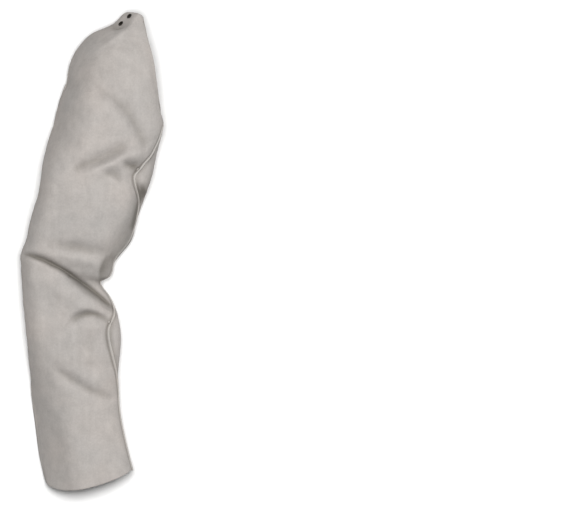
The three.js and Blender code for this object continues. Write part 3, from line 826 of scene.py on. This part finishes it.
def flattened_pad(grid, sizes, seats):
    """The grid with the points near the eyelets moved onto their plane."""
    (low, axis), (high, _) = seats["eyelet_lower"], seats["eyelet_upper"]
    middle, axis = np.array((low + high) / 2), np.array(axis)
    along = unit(np.array(high - low))
    off = grid - middle
    height = off @ axis
    gone = np.clip(off @ along, -sizes.eyelet_pitch / 2, sizes.eyelet_pitch / 2)
    distance = np.linalg.norm(off - gone[..., None] * along, axis=-1)
    weight = 1 - smooth_step(distance, PAD_RADIUS, PAD_RADIUS + PAD_BLEND)
    return grid - axis * (height * weight)[..., None]


# The flat pad round the eyelets in metres, and the punch with its length in walls
PAD_RADIUS = 0.0075
PAD_BLEND = 0.009
PUNCH_SIDES = 40
PUNCH_WALLS = 6


def punched(piece, sizes, seats):
    """Cuts the eyelets' holes through the leather."""
    radius = sizes.eyelet_bore / 2 + sizes.eyelet_shank + sizes.clearance
    shape = bmesh.new()
    for centre, axis in seats.values():
        turn = axis.to_track_quat("Z", "Y").to_matrix().to_4x4()
        bmesh.ops.create_cone(
            shape, cap_ends=True, segments=PUNCH_SIDES, radius1=radius, radius2=radius,
            depth=PUNCH_WALLS * sizes.wall, matrix=Matrix.Translation(centre) @ turn,
        )
    mesh = bpy.data.meshes.new("eyelet punch")
    shape.to_mesh(mesh)
    shape.free()
    punch = bpy.data.objects.new("eyelet punch", mesh)
    bpy.context.scene.collection.objects.link(punch)
    cut = piece.modifiers.new("eyelet holes", "BOOLEAN")
    cut.operation = "DIFFERENCE"
    cut.solver = "EXACT"
    cut.object = punch
    view = bpy.context.evaluated_depsgraph_get()
    made, old = bpy.data.meshes.new_from_object(piece.evaluated_get(view)), piece.data
    piece.modifiers.clear()
    piece.data = made
    bpy.data.meshes.remove(old)
    bpy.data.objects.remove(punch)


def uneven(face, seats):
    """The leather's outer face with the small waves of a worn hide, still on its underside."""
    draw = random.Random(WAVE_SEED)
    normals = grid_normals(face)
    lift = np.zeros(face.shape[:2])
    for wave in table(WAVE_COLUMNS, WAVES):
        for _ in range(wave["count"]):
            heading = draw.uniform(0, math.pi)
            length = wave["length"] * draw.uniform(*WAVE_STRETCH)
            bend = draw.uniform(-1, 1) * wave["bend"]
            along = face[..., 0] * math.cos(heading) + face[..., 1] * math.sin(heading)
            aside = face[..., 1] * math.cos(heading) - face[..., 0] * math.sin(heading)
            phase = draw.uniform(0, 2 * math.pi)
            swing = np.sin(2 * math.pi * (along + bend * np.sin(aside / length)) / length + phase)
            lift += wave["height"] * swing * draw.uniform(*WAVE_STRENGTH)
    t = np.linspace(0, 1, face.shape[1])
    inside = smooth_step(np.minimum(t, 1 - t), *WAVE_EDGE)[None]
    above = smooth_step(face[..., 2], *WAVE_RISE)
    middle = np.mean([seat[0] for seat in seats.values()], axis=0)
    away = smooth_step(np.linalg.norm(face - middle, axis=-1), *WAVE_CLEAR)
    return face + normals * (lift * inside * above * away)[..., None]


# Small waves of the hide, in metres, several of each size in seeded directions
WAVE_SEED = 7
WAVE_COLUMNS = ("count", "length", "height", "bend")
WAVES = (
    (5, 0.07, 0.0003, 0.02),
    (6, 0.032, 0.00018, 0.008),
    (7, 0.014, 0.00006, 0.003),
)
WAVE_STRETCH = (0.7, 1.4)
WAVE_STRENGTH = (0.5, 1)

# Where the waves fade in: from the seam as a share of the girth, off the table and off the eyelets
WAVE_EDGE = (0.04, 0.09)
WAVE_RISE = (0.004, 0.03)
WAVE_CLEAR = (0.016, 0.03)


def painted_shade_and_highlight(form, face):
    """How far each point of the outer face takes painted shade in hollows, creases and beside the seam,
    and how far it is a ridge that takes a painted highlight.
    """
    bend = np.einsum("jik,jik->ji", face - softened(face, HOLLOW_ROUNDS), grid_normals(face))
    place = face - form.shift
    depth = -fold_lift(form.creases, place[..., 0], place[..., 1])
    crease = np.clip(depth / CREASE_DEEP, 0, 1) * smooth_step(face[..., 2], *CREASE_RISE)
    lip = len(form.lip()[0])
    sewn = face[:ARM_ROWS]
    edges = (sewn[:, lip, None], sewn[:, -lip - 1, None])
    near = np.min([np.linalg.norm(sewn - edge, axis=-1) for edge in edges], axis=0)
    near[:, :lip] = near[:, -lip:] = 0
    hollow = np.clip(-bend / BEND_DEEP, 0, 1) + crease
    # Painted shade in the groove beside the seam
    hollow[:ARM_ROWS] += SEAM_SHADE * bell(near / SEAM_SHADE_REACH)
    ridge = np.clip(bend / BEND_DEEP, 0, 1) * (1 - crease)
    return np.clip(hollow, 0, 1).ravel(), ridge.ravel()


# Where shade is painted on the leather: rounds of softening that its bends are measured against, depths
# and heights in metres, and the painted shade beside the seam with its reach in metres
HOLLOW_ROUNDS = 24
BEND_DEEP = 0.004
CREASE_DEEP = 0.003
CREASE_RISE = (0.02, 0.04)
SEAM_SHADE = 0.75
SEAM_SHADE_REACH = 0.0025


def frame_shift(face):
    """How far the sleeve moves in plan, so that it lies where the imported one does."""
    low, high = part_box("sleeve_panel")
    points = face.reshape(-1, 3)
    middle = (points.min(0) + points.max(0)) / 2
    return np.array([(low.x + high.x) / 2 - middle[0], (low.y + high.y) / 2 - middle[1], 0])


class SLEEVE_OT_cut_panel(bpy.types.Operator):
    """Makes the leather panel, bent round into the arm tube"""

    bl_idname = "sleeve.cut_panel"
    bl_label = "Leather Panel"

    def execute(self, context):
        sizes, finish = context.scene.sleeve_sizes, context.scene.sleeve_finish
        form = SleeveForm(sizes)
        seats = eyelet_seats(sizes)
        face = uneven(flattened_pad(form.face, sizes, seats), seats)
        points, faces, rim = leather_wall(face, sizes.wall)
        material = leather_finish("split leather", finish, finish.leather_tone, PANEL_SHEEN)
        panel = new_mesh_object("leather_panel", points, faces, material)

        painted = np.zeros((len(PANEL_PARTS), len(points)), np.float32)
        painted[:2, :face.size // 3] = painted_shade_and_highlight(form, face)
        painted[2, rim] = 1
        for part, values in zip(PANEL_PARTS, painted):
            panel.data.attributes.new(part, "FLOAT", "POINT").data.foreach_set("value", values)
        punched(panel, sizes, seats)

        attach(panel, "root")
        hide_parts("sleeve_panel")
        return {"FINISHED"}


class SLEEVE_OT_lay_welt(bpy.types.Operator):
    """Makes the leather strip held in the underarm seam"""

    bl_idname = "sleeve.lay_welt"
    bl_label = "Seam Welt"

    def execute(self, context):
        sizes, finish = context.scene.sleeve_sizes, context.scene.sleeve_finish
        form = SleeveForm(sizes)
        frames = section_frames(form.rows, form.arm)
        seam = form.seam(frames)
        half, proud, corner = sizes.welt_thickness / 2, sizes.welt_proud, WELT_CORNER
        outs = np.linspace(-sizes.seam_turn, proud - corner, WELT_SIDE_STEPS)
        angles = np.linspace(0, math.pi / 2, WELT_ROUND_STEPS)[1:]
        aside = np.concatenate([np.full(len(outs), half), half - corner * (1 - np.cos(angles))])
        out = np.concatenate([outs, proud - corner * (1 - np.sin(angles))])
        loop_aside = np.concatenate([aside, -aside[::-1]])
        loop_out = np.concatenate([out, out[::-1]])
        grid = form.beside_seam(frames, seam, loop_aside, loop_out) + form.shift
        number = numbered(0, *grid.shape[:2])
        faces = grid_quads(number, ring=True) + [tuple(number[0]), tuple(number[-1][::-1])]
        material = leather_finish("welt leather", finish, finish.welt_tone, WELT_SHEEN)
        welt = new_mesh_object("seam_strip", grid.reshape(-1, 3), faces, material)
        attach(welt, "root")
        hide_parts("seam_welt")
        return {"FINISHED"}


# The welt's rounded corner in metres, and the points on its side and round its corner
WELT_CORNER = 0.0006
WELT_SIDE_STEPS = 6
WELT_ROUND_STEPS = 4


def tube_points(centres, sides, radius, sideways):
    """Rings of points round lines of centres, and the faces between them with closed ends."""
    count = centres.shape[1]
    tangent = unit(np.gradient(centres, axis=1))
    first = unit(np.cross(tangent, sideways))
    second = np.cross(tangent, first)
    turn = np.linspace(0, 2 * math.pi, sides, endpoint=False)
    rings = centres[:, :, None] + radius * (
        first[:, :, None] * np.cos(turn)[None, None, :, None]
        + second[:, :, None] * np.sin(turn)[None, None, :, None]
    )
    faces = []
    for line in range(len(centres)):
        number = numbered(line * count * sides, count, sides)
        faces += grid_quads(number, flipped=True, ring=True)
        faces += [tuple(number[0][::-1]), tuple(number[-1])]
    return rings.reshape(-1, 3), faces


# How the stitches are meshed, and how deep they lie under the seam's edge in metres
STITCH_STEPS = 7
THREAD_SIDES = 7
STITCH_DEPTH = 0.0043

# The gap at each end of a stitch and its steep end as shares of its length, and how deep it is
# pulled in as a share of the thread's width
STITCH_GAP = 0.12
STITCH_END = 0.02
STITCH_SINK = 0.55


class SLEEVE_OT_sew_seam(bpy.types.Operator):
    """Sews the lockstitch through the turned-in edges and the welt"""

    bl_idname = "sleeve.sew_seam"
    bl_label = "Seam Stitches"

    def execute(self, context):
        sizes, finish = context.scene.sleeve_sizes, context.scene.sleeve_finish
        form = SleeveForm(sizes)
        frames = section_frames(form.rows, form.arm)
        line = form.beside_seam(frames, form.seam(frames), [0], [-STITCH_DEPTH])[:, 0]
        run = np.concatenate([[0], np.cumsum(np.linalg.norm(np.diff(line, axis=0), axis=1))])
        count = int(run[-1] / sizes.stitch_length)
        share = np.linspace(0, 1, STITCH_STEPS)
        goals = np.arange(count)[:, None] + STITCH_GAP + share[None] * (1 - 2 * STITCH_GAP)
        at = np.interp(goals.ravel() * run[-1] / count, run, form.arm)
        frames = section_frames(form.rows, at)
        seam = form.seam(frames)
        rise = np.sqrt(np.sin(np.pi * np.clip(share, STITCH_END, 1 - STITCH_END)))
        aside = form.slot + sizes.wall + sizes.thread_width * (rise - STITCH_SINK)
        aside = np.tile(aside, count)[:, None]
        out = np.full_like(aside, -STITCH_DEPTH)
        points, faces = [], []
        for side in (1, -1):
            centres = form.beside_seam(frames, seam, side * aside, out)[:, 0] + form.shift
            middle = form.beside_seam(frames, seam, 0 * aside, out)[:, 0] + form.shift
            centres = centres.reshape(count, STITCH_STEPS, 3)
            sideways = unit(centres - middle.reshape(count, STITCH_STEPS, 3))
            ring, made = tube_points(centres, THREAD_SIDES, sizes.thread_width / 2, sideways)
            faces += [tuple(n + len(points) for n in f) for f in made]
            points += list(ring)
        stitches = new_mesh_object("seam_stitches", points, faces, thread_finish(finish))
        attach(stitches, "root")
        return {"FINISHED"}


# How finely the eyelets are meshed
EYELET_SIDES = 56
ROLL_STEPS = 7


def eyelet_profile(sizes):
    """The eyelet's closed section as radius and height: a rolled rim, the barrel and a flat rim."""
    bore, flange, rim = sizes.eyelet_bore / 2, sizes.eyelet_flange / 2, sizes.eyelet_rim
    barrel = bore + sizes.eyelet_shank
    top, under = sizes.clearance, -sizes.wall - sizes.clearance
    crown = (bore + flange) / 2
    reach = (flange - bore) / 2
    turns = [(math.cos(a), math.sin(a)) for a in np.linspace(0, math.pi, ROLL_STEPS)]
    return [
        (barrel, top), (flange, top),
        *((crown + reach * c, top + rim * (RIM_FOOT + (1 - RIM_FOOT) * s)) for c, s in turns),
        (bore, under - rim * FLAT_RIM),
        *((crown - reach * c, under - rim * (FLAT_RIM + (1 - FLAT_RIM) * s)) for c, s in turns[1:-1]),
        (flange, under - rim * RIM_LIP), (flange, under), (barrel, under),
    ]


# Shares of the rim's height: the foot of the roll, the flat rim's edge and its outer lip
RIM_FOOT = 0.25
FLAT_RIM = 0.5
RIM_LIP = 0.4


class SLEEVE_OT_press_eyelets(bpy.types.Operator):
    """Presses the two blackened eyelets into the shoulder tip"""

    bl_idname = "sleeve.press_eyelets"
    bl_label = "Tip Eyelets"

    def execute(self, context):
        sizes, finish = context.scene.sleeve_sizes, context.scene.sleeve_finish
        profile = eyelet_profile(sizes)
        material = metal_finish(finish)
        for name, (centre, axis) in eyelet_seats(sizes).items():
            turn = axis.to_track_quat("Z", "Y").to_matrix()
            points = []
            for k in range(EYELET_SIDES):
                angle = 2 * math.pi * k / EYELET_SIDES
                for radius, height in profile:
                    spot = Vector((radius * math.cos(angle), radius * math.sin(angle), height))
                    points.append(centre + turn @ spot)
            number = numbered(0, EYELET_SIDES, len(profile))
            faces = grid_quads(np.concatenate([number, number[:1]]), ring=True)
            ring = new_mesh_object(name.replace("eyelet", "tip_eyelet"), points, faces, material)
            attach(ring, "root")
            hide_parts(name)
        return {"FINISHED"}


# The photograph's frame and the sleeve's middle in pixels, the size of a pixel and the height at
# which it is measured in metres, the sensor in millimetres, and the view's reach in heights
FRAME_SIZE = (567, 508)
SLEEVE_PIXEL = (92.9, 251.2)
PIXEL_SIZE = 0.00125
OUTLINE_HEIGHT = 0.03
SENSOR_WIDTH = 36
VIEW_REACH = 4

# The table's reach and its faint grain in metres, and how much paler the grain is
TABLE_REACH = 40
TABLE_GRAIN = 0.05
TABLE_PALER = 1.02


class SLEEVE_OT_set_studio(bpy.types.Operator):
    """Sets the pale table, the two soft lights and the camera straight above"""

    bl_idname = "sleeve.set_studio"
    bl_label = "Table, Light and Camera"

    def execute(self, context):
        scene, studio = context.scene, context.scene.sleeve_studio
        top = Recipe("pale table")
        grain = top.noise(top.node("TexCoord", output="Object"), TABLE_GRAIN)
        paler = tuple(min(part * TABLE_PALER, 1) for part in studio.table_tone)
        colour = top.mix(grain, studio.table_tone, paler)
        finish = top.finish({"Base Color": colour, "Roughness": 0.9})
        reach = TABLE_REACH
        corners = [(-reach, -reach, 0), (reach, -reach, 0), (reach, reach, 0), (-reach, reach, 0)]
        table_top = new_mesh_object("table_top", corners, [(0, 1, 2, 3)], finish)

        world = bpy.data.worlds.new("studio")
        scene.world = world
        world.use_nodes = True
        sky = world.node_tree.nodes["Background"]
        sky.inputs["Color"].default_value = (1, 1, 1, 1)
        sky.inputs["Strength"].default_value = studio.fill_strength

        for name, place, size, power in LIGHTS:
            lamp = bpy.data.lights.new(name, "AREA")
            lamp.energy = getattr(studio, power)
            lamp.shape = "DISK"
            lamp.size = size
            light = bpy.data.objects.new(name, lamp)
            light.location = place
            light.rotation_euler = Vector(place).to_track_quat("Z", "Y").to_euler()
            scene.collection.objects.link(light)

        x = (FRAME_SIZE[0] / 2 - SLEEVE_PIXEL[0]) * PIXEL_SIZE
        y = (SLEEVE_PIXEL[1] - FRAME_SIZE[1] / 2) * PIXEL_SIZE
        view = bpy.data.cameras.new("camera")
        view.sensor_width = SENSOR_WIDTH
        distance = studio.camera_height - OUTLINE_HEIGHT
        view.lens = SENSOR_WIDTH * distance / (FRAME_SIZE[0] * PIXEL_SIZE)
        view.clip_end = VIEW_REACH * studio.camera_height
        camera = bpy.data.objects.new("camera", view)
        camera.location = (x, y, studio.camera_height)
        scene.collection.objects.link(camera)
        scene.camera = camera
        scene.view_settings.view_transform = "Standard"
        return {"FINISHED"}


# The soft lights: where they hang, how wide they are, and the setting of their power
LIGHTS = (
    ("key light", (0.04, 0.18, 3.0), 1.1, "key_power"),
    ("side light", (2.0, 1.2, 1.6), 1.2, "side_power"),
)

STEPS = (
    SLEEVE_OT_set_studio,
    SLEEVE_OT_cut_panel,
    SLEEVE_OT_lay_welt,
    SLEEVE_OT_sew_seam,
    SLEEVE_OT_press_eyelets,
)


class SLEEVE_PT_workshop(bpy.types.Panel):
    """Sizes, finishes and steps of the welding sleeve"""

    bl_idname = "SLEEVE_PT_workshop"
    bl_label = "Welding Sleeve"
    bl_space_type = "VIEW_3D"
    bl_region_type = "UI"
    bl_category = "Sleeve"

    def draw(self, context):
        layout = self.layout
        for group in ("sleeve_sizes", "sleeve_finish", "sleeve_studio"):
            settings = getattr(context.scene, group)
            box = layout.box()
            for name in settings.bl_rna.properties.keys():
                if name not in {"rna_type", "name"}:
                    box.prop(settings, name)
        for step in STEPS:
            layout.operator(step.bl_idname)


GROUPS = {"sleeve_sizes": SleeveSizes, "sleeve_finish": SleeveFinish, "sleeve_studio": SleeveStudio}


def register():
    for group in (*GROUPS.values(), *STEPS, SLEEVE_PT_workshop):
        bpy.utils.register_class(group)
    for name, group in GROUPS.items():
        setattr(bpy.types.Scene, name, PointerProperty(type=group))


def unregister():
    for name in GROUPS:
        delattr(bpy.types.Scene, name)
    for group in (SLEEVE_PT_workshop, *reversed(STEPS), *GROUPS.values()):
        bpy.utils.unregister_class(group)


def main():
    register()
    bpy.ops.sleeve.set_studio()
    bpy.ops.sleeve.cut_panel()
    bpy.ops.sleeve.lay_welt()
    bpy.ops.sleeve.sew_seam()
    bpy.ops.sleeve.press_eyelets()


if __name__ == "__main__":
    main()
